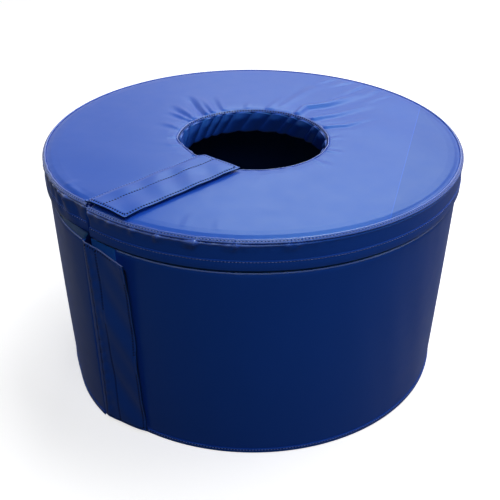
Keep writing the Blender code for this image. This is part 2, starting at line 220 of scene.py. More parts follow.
def new_material(name):
    made = bpy.data.materials.new(name)
    made.use_nodes = True
    tree = made.node_tree
    tree.nodes.clear()
    shader = add_node(tree, "ShaderNodeBsdfPrincipled")
    add_node(tree, "ShaderNodeOutputMaterial", {"Surface": (shader, "BSDF")})
    return tree, shader


def per_metre(size_mm):
    """The scale of a pattern that repeats at a real size."""
    return 1 / (size_mm * MM)


def painted_weld_light(tree, place, tint):
    """A weld across the lid's top: a pale line painted along it as a highlight, and painted shade
    on the cloth beyond it.
    """
    way = (math.cos(WELD_TURN), math.sin(WELD_TURN), 0.0)
    across = add_node(tree, "ShaderNodeVectorMath", {0: place, 1: way}, operation="DOT_PRODUCT")
    height = add_node(tree, "ShaderNodeSeparateXYZ", {0: place})
    on_top = add_node(tree, "ShaderNodeMath", {0: (height, "Z"), 1: LID_TOP - 3 * MM},
                      operation="GREATER_THAN")
    beyond = add_node(tree, "ShaderNodeMath", {0: (across, "Value"), 1: WELD_AWAY},
                      operation="GREATER_THAN")
    line = add_node(tree, "ShaderNodeMath", {0: (across, "Value"), 1: WELD_AWAY, 2: WELD_HALF},
                    operation="COMPARE")
    # 0.90 is painted shade beyond the weld, where the cloth falls away, and 1.35 a painted
    # highlight along it
    for mark, shade in ((beyond, 0.90), (line, 1.35)):
        share = add_node(tree, "ShaderNodeMath", {0: (mark, "Value"), 1: (on_top, "Value")},
                         operation="MULTIPLY")
        factor = add_node(tree, "ShaderNodeMapRange",
                          {"Value": (share, "Value"), "To Min": 1.0, "To Max": shade})
        scaled = add_node(tree, "ShaderNodeVectorMath", {0: tint, "Scale": (factor, "Result")},
                          operation="SCALE")
        tint = (scaled, "Vector")
    return tint


def rubbed_rim(tree, place):
    """1 where the lid's top rolls over to the front of its rim, and 0 elsewhere."""
    axes = add_node(tree, "ShaderNodeSeparateXYZ", {0: place})
    flat = add_node(tree, "ShaderNodeVectorMath", {0: place, 1: (1.0, 1.0, 0.0)},
                    operation="MULTIPLY")
    away = add_node(tree, "ShaderNodeVectorMath", {0: (flat, "Vector")}, operation="LENGTH")
    # Well outside the hole, whose own edge isn't rubbed
    share = add_node(tree, "ShaderNodeMath", {0: (away, "Value"), 1: 200 * MM},
                     operation="GREATER_THAN")
    for axis, none, full in (("Z", LID_TOP - 1.5 * MM, LID_TOP - 3.2 * MM),
                             ("Z", LID_TOP - 11 * MM, LID_TOP - 8.5 * MM),
                             ("Y", -140 * MM, -240 * MM)):
        ramp = add_node(tree, "ShaderNodeMapRange",
                        {"Value": (axes, axis), "From Min": none, "From Max": full})
        share = add_node(tree, "ShaderNodeMath", {0: (share, "Value"), 1: (ramp, "Result")},
                         operation="MULTIPLY")
    return share


def coated_cloth(name, colour, roughness=0.35, grain=0.18, dark=0.93, polish=0.0, weld=False):
    """PVC-coated polyester: a satin skin with a fine pressed grain and a little mottling.

    The colour falls to its dark share in the mottling. Polish is the weight of a smooth coat.
    """
    tree, shader = new_material(name)
    place = (add_node(tree, "ShaderNodeTexCoord"), "Object")
    cloud = add_node(tree, "ShaderNodeTexNoise",
                     {"Vector": place, "Scale": per_metre(71.4), "Detail": 3.0})
    tint = add_node(tree, "ShaderNodeMix",
                    {"Factor": (cloud, "Fac"), "A": (*[c * dark for c in colour], 1.0),
                     "B": (*colour, 1.0)}, data_type="RGBA")
    patches = add_node(tree, "ShaderNodeTexNoise", {"Vector": place, "Scale": per_metre(25)})
    gloss = add_node(tree, "ShaderNodeMapRange",
                     {"Value": (patches, "Fac"), "To Min": roughness - 0.05,
                      "To Max": roughness + 0.05})
    # The real grain is finer, and is drawn as coarse as it needs to show
    cells = add_node(tree, "ShaderNodeTexVoronoi", {"Vector": place, "Scale": per_metre(1.1)})
    pressed = add_node(tree, "ShaderNodeBump",
                       {"Height": (cells, "Distance"), "Strength": grain,
                        "Distance": 0.1 * MM})
    feed(tree, shader, {
        # On the lid the colour carries a painted highlight along the weld and painted shade beyond
        # it
        "Base Color": painted_weld_light(tree, place, (tint, "Result")) if weld else (tint, "Result"),
        "Roughness": (gloss, "Result"),
        "Normal": (pressed, "Normal"),
        # The tinted skin keeps the cloth blue where it faces the eye, and greys it at its edges
        "Specular Tint": (0.2, 0.85, 1.0, 1.0),
        "IOR": 1.4,
        "Coat Weight": (rubbed_rim(tree, place), "Value") if weld else polish,
        "Coat Roughness": 0.2,
    })


def sewing_thread(name, colour, shine=0.5):
    """Bonded polyester thread: plies laid in a long twist, with a dry shine."""
    tree, shader = new_material(name)
    place = (add_node(tree, "ShaderNodeTexCoord"), "Object")
    plies = add_node(tree, "ShaderNodeTexWave", {"Vector": place, "Scale": per_metre(0.8333)},
                     bands_direction="DIAGONAL")
    # The pale stripes along the plies are painted highlights
    pale = [min(1.0, c * 1.5) for c in colour]
    tint = add_node(tree, "ShaderNodeMix",
                    {"Factor": (plies, "Fac"), "A": (*colour, 1.0), "B": (*pale, 1.0)},
                    data_type="RGBA")
    feed(tree, shader, {"Base Color": (tint, "Result"), "Roughness": 0.55,
                        "Specular IOR Level": shine})


def tape_cloth(name, colour, tuft_mm, depth):
    """Hook or loop tape: a mat of nylon tufts, dull and dense."""
    tree, shader = new_material(name)
    place = (add_node(tree, "ShaderNodeTexCoord"), "Object")
    tufts = add_node(tree, "ShaderNodeTexVoronoi",
                     {"Vector": place, "Scale": per_metre(tuft_mm)})
    # Each tuft's cell darkens towards its border: painted shade between the tufts
    dark = [c * 0.85 for c in colour]
    tint = add_node(tree, "ShaderNodeMix",
                    {"Factor": (tufts, "Distance"), "A": (*colour, 1.0), "B": (*dark, 1.0)},
                    data_type="RGBA")
    raised = add_node(tree, "ShaderNodeBump",
                      {"Height": (tufts, "Distance"), "Strength": depth, "Distance": 0.6 * MM},
                      invert=True)
    feed(tree, shader, {"Base Color": (tint, "Result"), "Normal": (raised, "Normal"),
                        "Roughness": 0.9, "Specular IOR Level": 0.2})


def finish_named(name):
    found = bpy.data.materials.get(name)
    if found is None:
        raise RuntimeError(f"the material {name} is made before the pieces that use it")
    return found


# Mesh helpers


def smooth(low, high, value):
    """0 at low, 1 at high, and a smooth ramp between them."""
    share = np.clip((value - low) / (high - low), 0.0, 1.0)
    return share * share * (3 - 2 * share)


def bell(away, width):
    """1 on a line, and 0 well away from it."""
    return np.exp(-((away / width) ** 2))


def deselect():
    if bpy.context.mode != "OBJECT":
        bpy.ops.object.mode_set(mode="OBJECT")
    bpy.ops.object.select_all(action="DESELECT")


def make_active(piece):
    deselect()
    piece.select_set(True)
    bpy.context.view_layer.objects.active = piece


def wrapped_grid(name, points):
    """A grid primitive whose points are laid on an array of places, rows by columns by xyz."""
    rows, columns = points.shape[0] - 1, points.shape[1] - 1
    deselect()
    bpy.ops.mesh.primitive_grid_add(x_subdivisions=rows, y_subdivisions=columns, size=1.0)
    piece = bpy.context.active_object
    piece.name = piece.data.name = name
    flat = np.empty(len(piece.data.vertices) * 3)
    piece.data.vertices.foreach_get("co", flat)
    flat = flat.reshape(-1, 3)
    row = np.rint((flat[:, 0] + 0.5) * rows).astype(int)
    column = np.rint((flat[:, 1] + 0.5) * columns).astype(int)
    piece.data.vertices.foreach_set("co", points[row, column].ravel())
    piece.data.update()
    return piece


def close_ends(piece):
    """Merges the grid's long seam, closes its two open ends and turns all faces outwards."""
    make_active(piece)
    bpy.ops.object.mode_set(mode="EDIT")
    bpy.ops.mesh.select_all(action="SELECT")
    bpy.ops.mesh.remove_doubles(threshold=1e-7)
    bpy.ops.mesh.select_all(action="DESELECT")
    bpy.ops.mesh.select_mode(type="EDGE")
    bpy.ops.mesh.select_non_manifold(extend=False, use_wire=False, use_multi_face=False,
                                     use_non_contiguous=False, use_verts=False)
    bpy.ops.mesh.fill_holes(sides=0)
    bpy.ops.mesh.select_all(action="SELECT")
    bpy.ops.mesh.normals_make_consistent(inside=False)
    bpy.ops.object.mode_set(mode="OBJECT")


def finished(piece, *finishes, angle=40.0):
    """Gives a piece its materials and smooth shading, with its sharp edges kept."""
    make_active(piece)
    piece.data.materials.clear()
    for finish in finishes:
        piece.data.materials.append(finish_named(finish))
    bpy.ops.object.shade_smooth_by_angle(angle=math.radians(angle))


def solidified(piece, thickness, offset, rounding):
    shell = piece.modifiers.new("thickness", "SOLIDIFY")
    shell.thickness = thickness
    shell.offset = offset
    shell.use_even_offset = True
    edge = piece.modifiers.new("rounding", "BEVEL")
    edge.width = rounding
    edge.segments = 2
    edge.limit_method = "ANGLE"
    edge.angle_limit = math.radians(60)
    make_active(piece)
    for modifier in list(piece.modifiers):
        bpy.ops.object.modifier_apply(modifier=modifier.name)


def carried(piece, side, part, *nodes):
    """Rides a section on its body, or bakes the back section's place into its mesh, on no body.

    Nodes are named without their side. The back section stands for no node of its own.
    """
    if side == "back":
        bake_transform(piece)
    else:
        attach(piece, f"{part}_{side}")
    if nodes and side != "back":
        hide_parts(*[f"{node}_{side}" for node in nodes])


# Outlines, and turning them round the pad


def rounded_line(corners):
    """Points along a closed line of corners (radius, height, rounding, steps)."""
    points = []
    for index, (radius, height, rounding, steps) in enumerate(corners):
        here = Vector((radius, height))
        if steps == 0:
            points.append(here)
            continue
        before = (Vector(corners[index - 1][:2]) - here).normalized()
        after = (Vector(corners[(index + 1) % len(corners)][:2]) - here).normalized()
        half = before.angle(after) / 2
        centre = here + (before + after).normalized() * rounding / math.sin(half)
        start, end = (here + way * rounding / math.tan(half) - centre for way in (before, after))
        sweep = start.angle_signed(end)
        points += [centre + Matrix.Rotation(-sweep * step / steps, 2) @ start
                   for step in range(steps + 1)]
    return points


def closed_line(groups, spacing=math.inf):
    """An outline that ends where it starts, with points no further apart than the spacing.

    Each group of corners has a radius and a height. A corner is in mm: its distance from that
    radius and from that height, and its rounding. Its last number is the rounding's steps.
    """
    line = rounded_line([(radius + out * MM, height + up * MM, rounding * MM, steps)
                         for radius, height, group in groups for out, up, rounding, steps in group])
    made = [line[0]]
    for start, end in zip(line, line[1:] + line[:1]):
        parts = max(1, math.ceil((end - start).length / spacing))
        made += [start.lerp(end, part / parts) for part in range(1, parts + 1)]
    return np.array([(p.x, p.y) for p in made])


def line_normals(line):
    """Outward normals of a closed line that runs clockwise, in the radius and height plane."""
    along = np.gradient(line, axis=0)
    normal = np.stack([-along[:, 1], along[:, 0]], 1)
    normal /= np.linalg.norm(normal, axis=1, keepdims=True)
    normal[-1] = normal[0]
    return normal


def stations(side, step_deg, rounding=0.0):
    """The section's rows: (distance from the split's plane, share of the turn beyond it).

    The rows that round a pad's end lie in planes parallel to the split.
    """
    start, end = SIDES[side]
    steps = round((end - start) / step_deg)
    rows = [(0.0, share / steps) for share in range(steps + 1)]
    if side == "back" or not rounding:
        return rows
    near = [(rounding * share, 0.0) for share in (0.0, 0.02, 0.08, 0.18, 0.32, 0.5, 0.72, 1.0)]
    return near + [(rounding, share) for _, share in rows[1:]]


def turned(side, line, rows, gap=SPLIT_EDGE):
    """Radius, azimuth and height of every row's points. The left section runs backwards."""
    start, end = SIDES[side]
    distance, share = np.array(rows).T[:, :, None]
    radius = np.tile(line[:, 0], (len(rows), 1))
    height = np.tile(line[:, 1], (len(rows), 1))
    if side == "back":
        return radius, start + (end - start) * share + 0 * radius, height
    lead = np.degrees(np.arcsin((gap + distance) / radius))
    turn = lead + share * (end - start - lead)
    return radius, start + turn if side == "right" else end - turn, height


def placed(radius, azimuth, height):
    angle = np.radians(azimuth)
    return np.stack([radius * np.cos(angle), radius * np.sin(angle), height], -1)


def end_inset(rows, rounding):
    """How far each row is drawn in, so that a pad's end is round."""
    reach = np.array([max(0.0, rounding - distance) if share == 0.0 else 0.0
                      for distance, share in rows])
    return (rounding - np.sqrt(rounding**2 - reach**2))[:, None]


def turned_solid(name, radius, azimuth, height):
    piece = wrapped_grid(name, placed(radius, azimuth, height))
    close_ends(piece)
    return piece


def pad_section(name, side, line, step_deg, forms, shift, rounding):
    """A closed padded section: its outline turned, shaped, and rounded where the pad ends."""
    rows = stations(side, step_deg, rounding)
    radius, azimuth, height = turned(side, line, rows)
    normal = line_normals(line)
    out = forms(radius, azimuth, height) - end_inset(rows, 0.0 if side == "back" else rounding)
    radius = radius + out * normal[None, :, 0]
    height = height + out * normal[None, :, 1]
    return turned_solid(name, radius + shift(azimuth, height, radius), azimuth, height)


def turned_band(name, side, line, step_deg, swell, shift, gap):
    """A closed band or bead whose outline is turned round the pad and follows its cloth."""
    radius, azimuth, height = turned(side, line, stations(side, step_deg), gap)
    radius = radius + swell(azimuth, height) + shift(azimuth, height)
    return turned_solid(name, radius, azimuth, height)


def bead_line(radius, height, half, flat, groove, tilt):
    """A rolled seam's outline: taller than thick, with a groove outside where it is sewn down.

    The tilt is how far the groove faces up, in degrees.
    """
    sides, rise = 20, math.radians(tilt)
    turn = -2 * np.pi * np.arange(sides + 1) / sides
    out = (half - groove * np.maximum(0.0, np.cos(turn)) ** 6) * np.cos(turn)
    up = half * flat * np.sin(turn)
    return np.stack([radius + out * math.cos(rise) - up * math.sin(rise),
                     height + out * math.sin(rise) + up * math.cos(rise)], 1)


# Forms of the cloth


def ripple(azimuth, count, seed):
    """A repeatable wave round the pad whose periods and heights are uneven. It runs -1 to 1."""
    draw = np.random.default_rng(seed)
    total = 0.0
    angle = np.radians(azimuth)
    for _ in range(5):
        pitch = round(count * draw.uniform(0.6, 1.4))
        total = total + draw.uniform(0.5, 1.0) * np.sin(pitch * angle + draw.uniform(0, 7))
    return total / 3.0


def scattered(azimuth, drop, seed, gap, width, slant):
    """Separate swells at uneven distances, each up to 1 high. They lean as they go down."""
    draw = np.random.default_rng(seed)
    total = np.zeros(np.broadcast(azimuth, drop).shape)
    at = RIGHT_END - 2
    while at < LEFT_END + 2:
        half, tall = draw.uniform(0.5, 1.0) * width, draw.uniform(0.2, 1.0)
        away = azimuth - at - draw.uniform(0.2, 1.0) * slant * drop
        total = total + tall * bell(away, half)
        at += draw.uniform(0.5, 1.5) * gap
    return total


def distance_to_path(x, y, path):
    """For each point: signed distance to a path, and the share of the path's length."""
    best = np.full(x.shape, np.inf)
    side, share = np.zeros(x.shape), np.zeros(x.shape)
    lengths = [math.dist(a, b) for a, b in zip(path, path[1:])]
    whole, run = sum(lengths), 0.0
    for (ax, ay), (bx, by), length in zip(path, path[1:], lengths):
        ux, uy = (bx - ax) / length, (by - ay) / length
        along = np.clip((x - ax) * ux + (y - ay) * uy, 0, length)
        dx, dy = x - ax - along * ux, y - ay - along * uy
        away = np.hypot(dx, dy)
        near = away < best
        best = np.where(near, away, best)
        side = np.where(near, np.sign(ux * dy - uy * dx), side)
        share = np.where(near, (run + along) / whole, share)
        run += length
    return best * side, share


# Folds that run from the hole over the lid's top: points (azimuth, radius as a share of the
# lid's), height as a share of the tallest, half width in mm, and depth of the valley beside it.
# Some fall away on one side over a longer flank, whose width in mm comes last
TOP_FOLDS = [
    ([(98, 0.352), (99, 0.405), (100.4, 0.48), (93.5, 0.58), (90.5, 0.714), (89.4, 0.93)],
     0.80, 5.0, 0.5, 16.0),
    ([(84, 0.355), (79, 0.50), (79, 0.66), (79.4, 0.79)], 0.56, 5.0, 0.5, 13.0),
    ([(65.4, 0.355), (62, 0.486), (67.5, 0.69)], 0.40, 5.0, 0.5, 9.0),
    ([(115, 0.38), (109, 0.70), (104, 0.96)], 0.34, 8.0, 0.5),
    ([(123, 0.36), (115, 0.63)], 0.30, 7.0, 0.3),
    ([(140, 0.36), (136, 0.48)], 0.20, 5.0, 0.3),
    ([(158, 0.37), (153, 0.61)], 0.30, 5.5, 0.5),
    ([(168, 0.36), (162, 0.61)], 0.55, 5.0, 0.7),
    ([(174, 0.36), (164, 0.66)], 0.75, 5.5, 0.9),
    ([(188, 0.36), (178, 0.60)], 0.60, 5.5, 0.7),
    ([(191, 0.36), (187, 0.55)], 0.50, 5.0, 0.6),
    ([(210, 0.35), (202, 0.52)], 0.30, 6.0, 0.4),
    ([(224, 0.35), (223, 0.43)], 0.26, 5.0, 0.3),
    ([(240, 0.36), (238, 0.45)], 0.20, 5.0, 0.3),
    ([(20, 0.36), (20, 0.47)], 0.34, 5.0, 0.4),
    ([(1.6, 0.36), (0, 0.50)], 0.36, 5.5, 0.4),
    ([(-20, 0.36), (-21, 0.43)], 0.16, 5.0, 0.3),
    ([(42, 0.36), (44, 0.45)], 0.18, 5.0, 0.3),
    # Folds that run in from the back of the rim
    ([(94, 0.97), (94.7, 0.79), (95, 0.70)], 0.34, 5.0, 0.7),
    ([(98.5, 0.98), (104.3, 0.80)], 0.30, 5.0, 0.7),
    ([(104.7, 0.98), (110.7, 0.78)], 0.28, 5.0, 0.7),
    ([(88.0, 0.97), (87.0, 0.74)], 0.26, 5.0, 0.7),
    ([(82.0, 0.94), (82.5, 0.70)], 0.18, 5.0, 0.5),
    # A roll along the rim left of the split, and short folds by it and in the front
    ([(269.5, 0.985), (264, 0.972), (257, 0.958), (247, 0.945)], 0.34, 6.0, 0.5),
    ([(258.0, 0.965), (256.0, 0.90)], 0.14, 6.0, 0.3),
    ([(266.0, 0.965), (265.0, 0.91)], 0.16, 6.0, 0.3),
    ([(-62.8, 0.94), (-62.8, 0.80)], 0.07, 5.0, 0.4),
    ([(-54.0, 0.94), (-55.5, 0.81)], 0.06, 5.0, 0.4),
]

# Azimuths where the hole's lining is pinched at its top seam
LINING_PINCHES = [-90, -74, -57, -38, -20, -4, 14, 31, 47, 66, 76, 94, 103, 119, 134.6, 150,
                  159.5, 168, 180, 197, 207, 224, 240, 256, 270]

# Tucks in the boxing left of the split: azimuth, half width in degrees, and depth in mm
BOXING_TUCKS = [(246.0, 1.6, 1.8), (250.5, 2.0, 3.0), (255.5, 1.6, 3.6), (259.5, 1.5, -2.4),
                (263.5, 1.3, 2.0)]


def top_folds(x, y, tallest):
    """Height of the lid's top at x and y: a crest along each fold, and a valley or a flank."""
    total = np.zeros(x.shape)
    for points, share, width_mm, valley, *flank_mm in TOP_FOLDS:
        path = [placed(away * LID_RADIUS, azimuth, 0.0)[:2] for azimuth, away in points]
        aside, along = distance_to_path(x, y, path)
        width = width_mm * MM * (0.75 + 0.6 * along)
        rise = smooth(-0.02, 0.10, along) * (1 - smooth(0.35, 1.0, along)) ** 0.8
        form = bell(aside, width)
        if flank_mm:
            fall = -aside / (flank_mm[0] * MM * (0.8 + 0.4 * along))
            down = (1 + valley) * (0.5 + 0.5 * np.cos(np.pi * np.clip(fall, 0, 1))) - valley
            form = np.where(fall > 0, down + valley * smooth(1.0, 2.2, fall), form)
        else:
            form = form - valley * bell(aside - 1.7 * width, 1.1 * width)
        total += tallest * share * rise * form
    return total


def lining_gathers(azimuth, depth):
    """0 at a pinch and 1 on the swell between two, where the pinches slant as they go down."""
    turn = azimuth - 9.0 * depth
    edges = np.array([-120, *LINING_PINCHES, 300], float)
    index = np.clip(np.searchsorted(edges, turn) - 1, 0, len(edges) - 2)
    share = (turn - edges[index]) / (edges[index + 1] - edges[index])
    # The swell leans over, so that one side of it is steep
    share = np.clip(share, 0, 1) ** 1.35
    return np.sin(np.pi * share) ** 0.8


def lid_line():
    """The lid's outline, clockwise from the lining's top to the underside, and back up it."""
    return closed_line([
        (HOLE_RADIUS, LID_TOP, [(-2.6, -6.4, 0, 0), (-0.6, -4.9, 0.6, 2), (0.9, -4.1, 0, 0),
                                (2.2, -2.9, 0.6, 2), (3.6, -1.3, 1.0, 3), (8.0, -0.5, 6.0, 3),
                                (18.0, 0, 20.0, 4)]),
        (LID_RADIUS, LID_TOP, [(-22.0, 0, 20.0, 4), (-12.0, -0.5, 10.0, 5), (-5.6, -2.0, 2.0, 3),
                               (-3.6, -3.6, 0, 0), (-2.8, -6.0, 0, 0), (-1.2, -7.3, 0.5, 2),
                               (0.3, -8.6, 0.8, 3), (-0.3, -10.4, 2.0, 2)]),
        (LID_RADIUS, LID_BOTTOM, [(0, 20.0, 0, 0), (-0.2, 0, 4.0, 5)]),
        (HOLE_RADIUS, LID_BOTTOM, [(24.0, 0, 18.0, 4), (-1.0, 7.0, 4.0, 5), (-2.4, 27.0, 0, 0)]),
    ], 2.5 * MM)


def lid_forms(radius, azimuth, height, sizes):
    """How far the lid's points stand out of its outline, in folds, gathers and soft hollows."""
    on_top = smooth(LID_TOP - 6.0 * MM, LID_TOP - 3.4 * MM, height)
    in_hole = (1 - smooth(HOLE_RADIUS - 1 * MM, HOLE_RADIUS + 3 * MM, radius)) * (1 - on_top)
    on_rim = smooth(LID_RADIUS - 3 * MM, LID_RADIUS - 1 * MM, radius)
    x = radius * np.cos(np.radians(azimuth))
    y = radius * np.sin(np.radians(azimuth))
    from_hole, from_rim = radius - HOLE_RADIUS, LID_RADIUS - radius
    # The flap holds the cloth flat, so the folds end beside it
    under_flap = smooth(-30 * MM, 0.0, 38 * MM - np.abs(x - 25 * MM)) * (y < -50 * MM)
    folds = top_folds(x, y, sizes.fold) * (1 - under_flap)
    # Fine gathers at both seams, and slow waves between them
    fine = ripple(azimuth, 46, 3) * np.exp(-from_hole / (9 * MM)) * 0.30 * MM
    fine += ripple(azimuth + 260 * from_hole, 24, 4) * np.exp(-from_hole / (22 * MM)) * 0.30 * MM
    fine += ripple(azimuth, 80, 5) * np.exp(-from_rim / (7 * MM)) * 0.32 * MM
    slow = 0.35 * MM * ripple(azimuth + 300 * radius, 7, 8)
    slow *= smooth(0.0, 40 * MM, from_hole) * smooth(0.0, 30 * MM, from_rim)
    # The cloth falls a little beyond the weld
    beyond = x * math.cos(WELD_TURN) + y * math.sin(WELD_TURN) - WELD_AWAY
    crease = -0.03 * np.clip(beyond, 0, 30 * MM)
    seams = smooth(0.0, 6 * MM, from_hole) * smooth(3 * MM, 9 * MM, from_rim)
    out = on_top * (seams * (folds + slow + crease) + fine)
    depth = np.clip((LID_TOP - 6 * MM - height) / (24 * MM), 0, 1.3)
    gathers = lining_gathers(azimuth, depth)
    swell = np.minimum(1.0, 0.35 + depth * 2.2) * (1.25 - 0.5 * depth)
    notch = (1 - gathers) ** 2 * np.exp(-depth / 0.35)
    out = out + in_hole * (gathers * swell * sizes.gather - 2.0 * MM * notch)
    return out + on_rim * boxing_swell(azimuth, height)


def boxing_swell(azimuth, height):
    """How far the lid's upright side stands out: small puckers under the rim and a few tucks."""
    drop = (LID_TOP - 7 * MM - height) / (30 * MM)
    strong = 0.08 + smooth(-20.0, -50.0, azimuth) + 0.85 * smooth(235.0, 245.0, azimuth)
    pucker = scattered(azimuth, drop, 11, 3.2, 1.4, -5.0) * strong
    side = pucker * smooth(-0.10, 0.06, drop) * (1 - smooth(0.08, 0.45, drop)) * 4.2 * MM
    side = side + ripple(azimuth, 17, 12) * 0.30 * MM
    for at, width, deep in BOXING_TUCKS:
        tuck = bell(azimuth - at - 2.5 * drop, width) * deep * MM
        side = side - tuck * smooth(-0.1, 0.2, drop) * (1 - smooth(0.4, 1.2, drop))
    return side


def lid_end_shift(azimuth, radius=LID_RADIUS):
    """The lid's left end has drawn in at the split, more at the hole than at the rim."""
    by_hole = 1 - smooth(HOLE_RADIUS, LID_RADIUS - 20 * MM, radius)
    rim = -6.0 * MM * smooth(252.0, 270.0, azimuth) ** 1.5
    return rim * (1 - by_hole) - 9.0 * MM * smooth(222.0, 252.0, azimuth) * by_hole


def rim_shift(azimuth, height):
    return lid_end_shift(azimuth)


def hole_shift(azimuth, height):
    return lid_end_shift(azimuth, HOLE_RADIUS)


def ring_spring(azimuth, height, radius=0.0):
    """The ring's left end springs outwards at the split, more at its foot than at its top."""
    return (13.0 - 3.5 * height / WALL_TOP) * MM * smooth(242.0, 271.0, azimuth)


def wall_radius(height):
    return WALL_FOOT_RADIUS + (WALL_TOP_RADIUS - WALL_FOOT_RADIUS) * height / WALL_TOP


def ring_line():
    """The ring's outline, clockwise from the top of its inside."""
    inside = WALL_FOAM + 2 * COVER
    return closed_line([
        (WALL_TOP_RADIUS - inside, WALL_TOP, [(0, 0, 4.0, 4)]),
        (WALL_TOP_RADIUS, WALL_TOP, [(-9.0, -0.2, 2.0, 2), (-5.4, -2.4, 0, 0), (-3.8, -4.6, 0, 0),
                                     (-2.6, -6.6, 0, 0), (-0.8, -7.4, 0, 0), (-0.1, -9.4, 0, 0)]),
        (WALL_FOOT_RADIUS, 0.0, [(0, 0, 4.0, 4)]),
        (WALL_FOOT_RADIUS - inside, 0.0, [(0, 0, 4.0, 4)]),
    ], 4.5 * MM)


def wall_middle(height):
    """1 halfway up the ring, and 0 at its top and its foot."""
    return np.sin(np.pi * np.clip(height / WALL_TOP, 0, 1))


def wall_swell(azimuth, height):
    """How far the ring's outer side stands out: a soft middle, slow waves, gathers at its seams."""
    slow = 0.9 * MM + 0.5 * MM * ripple(azimuth, 9, 21)
    slow = slow + 0.32 * MM * ripple(azimuth + 40 * height, 26, 22)
    by_top = np.exp(-np.clip((WALL_TOP - 8 * MM - height) / (16 * MM), 0, None))
    by_foot = np.exp(-height / (14 * MM)) * smooth(2 * MM, 6 * MM, height)
    swell = slow * wall_middle(height) + 0.35 * MM * ripple(azimuth, 55, 23) * by_top
    swell = swell + 0.45 * MM * ripple(azimuth, 48, 24) * by_foot
    near_end = smooth(238.0, 268.0, azimuth)
    return swell + near_end * 0.4 * MM * np.sin(np.radians((azimuth - 250) * 20 + 900 * height))


def ring_forms(radius, azimuth, height):
    """How far the ring's points stand out of its outline, on its outer and its inner side."""
    outer = smooth(WALL_FOOT_RADIUS - 6 * MM, WALL_FOOT_RADIUS - 2 * MM, radius)
    lining = WALL_FOOT_RADIUS - WALL_FOAM
    inner = 1 - smooth(lining, lining + 9 * MM, radius)
    waves = 1.5 * MM * ripple(azimuth, 20, 25) * wall_middle(height)
    return outer * wall_swell(azimuth, height) + inner * waves


def pitched(azimuth, radius, pitch, depth):
    """Puckers a rolled seam once for every stitch."""
    return depth * np.cos(2 * np.pi * np.radians(azimuth) * radius / pitch)


def rim_bead_swell(azimuth, pitch):
    """The rim's rolled seam has lumps in front, and waves left of the split."""
    lumps = scattered(azimuth, 0.0 * azimuth, 11, 3.2, 1.3, 0.0) - 0.3
    return (pitched(azimuth, LID_RADIUS, pitch, 0.2 * MM)
            + 1.0 * MM * lumps * smooth(-20.0, -50.0, azimuth)
            + 0.7 * MM * ripple(azimuth, 60, 14) * smooth(234.0, 250.0, azimuth))


def hole_bead_swell(azimuth, pitch):
    """The hole's rolled seam is drawn in where the lining is full."""
    gathers = lining_gathers(azimuth, 0.0) - 0.5
    return pitched(azimuth, HOLE_RADIUS, pitch, 0.12 * MM) - 0.5 * MM * gathers


# Flaps and tapes


def row_dent(away, depth=0.45 * MM):
    """Cloth drawn down along a row of stitches."""
    return -depth * bell(away, 1.3 * MM)


def top_flap_place(along, share):
    """A point of the lid flap's lower face: distance from its seam, and share of its length."""
    corner = 9 * MM
    before = np.clip(corner - along, 0, corner)
    inner = TOP_FLAP_INNER + corner - np.sqrt(np.clip(corner**2 - before**2, 0, None))
    across = along / TOP_FLAP_WIDTH - 0.5
    # Both ends slant, so that the free edge lies nearer the hole than the seam does
    outer = TOP_FLAP_OUTER - 5.5 * MM * across
    inner = inner - 7.5 * MM * across
    y = -outer + (outer - inner) * share
    # The flap rises from its seam over the split, on to the tapes
    z = TOP_FLAP_FOOT + 3.6 * MM * smooth(0.0, TOP_FLAP_ROOT + 7.5 * MM, along)
    return np.stack([along - TOP_FLAP_ROOT, y, z], -1)


def top_flap_form(along, share):
    """The lid's flap: slow waves, edges that curl down, and dents along its stitch rows."""
    points = top_flap_place(along, share)
    outer, inner = share * TOP_FLAP_LENGTH, (1 - share) * TOP_FLAP_LENGTH
    free = TOP_FLAP_WIDTH - along
    lift = 0.45 * MM * np.sin(along * 110 + 3 + 2 * share) * np.sin(share * 17 + 1)
    lift += 0.45 * MM * np.sin(along * 60 + share * 26) * smooth(0.0, 20 * MM, along)
    edge = np.minimum(np.minimum(outer, inner), free)
    lift -= 0.8 * MM * smooth(6 * MM, 0.0, edge) * smooth(0.0, 10 * MM, along)
    for away in (outer - EDGE_ROW, inner - EDGE_ROW, free - EDGE_ROW, along - TAPE_ROW):
        lift += row_dent(away)
    points[..., 2] += lift + 0.7 * MM * bell(along, 1.6 * MM)
    return points


def on_circle(x, radius, height):
    return Vector((x, -math.sqrt(radius**2 - x**2), height))


def side_flap_edges():
    """The ring flap's three upright lines: its root, its bend at the split, its free edge."""
    top = WALL_TOP - SIDE_FLAP_DROP
    edges = []
    for height, free_height, stand in ((SIDE_FLAP_FOOT, SIDE_FLAP_FOOT, 4.5 * MM),
                                       (top, top - 11 * MM, 8.5 * MM)):
        spring = float(ring_spring(LEFT_END, height))
        root = on_circle(-SPLIT_EDGE, wall_radius(height) + spring + 0.3 * MM, height)
        bend = on_circle(SPLIT_EDGE, root.xy.length, height)
        free = on_circle(SIDE_FLAP_REACH, wall_radius(free_height) + stand, free_height)
        edges.append((root, bend, free))
    return list(zip(*edges))


def side_flap_seam(share):
    """How far the ring flap's seam lies from its root: it bows where the end springs out."""
    return (3.4 + 6.2 * np.sin(np.pi * np.clip(share, 0, 1)) ** 0.7 + 2.5 * (1 - share) ** 4) * MM


def side_flap_place(along, share):
    """A point of the ring flap's inner face: distance from its root, and share of its height."""
    root, bend, free = (np.array(low) + (np.array(high) - np.array(low)) * share[..., None]
                        for low, high in side_flap_edges())
    near = np.linalg.norm(bend - root, axis=-1)
    far = np.linalg.norm(free - bend, axis=-1)
    first = np.clip(along / near, 0, 1)[..., None]
    second = np.clip((along - near) / far, 0, None)[..., None]
    return root + (bend - root) * first + (free - bend) * second


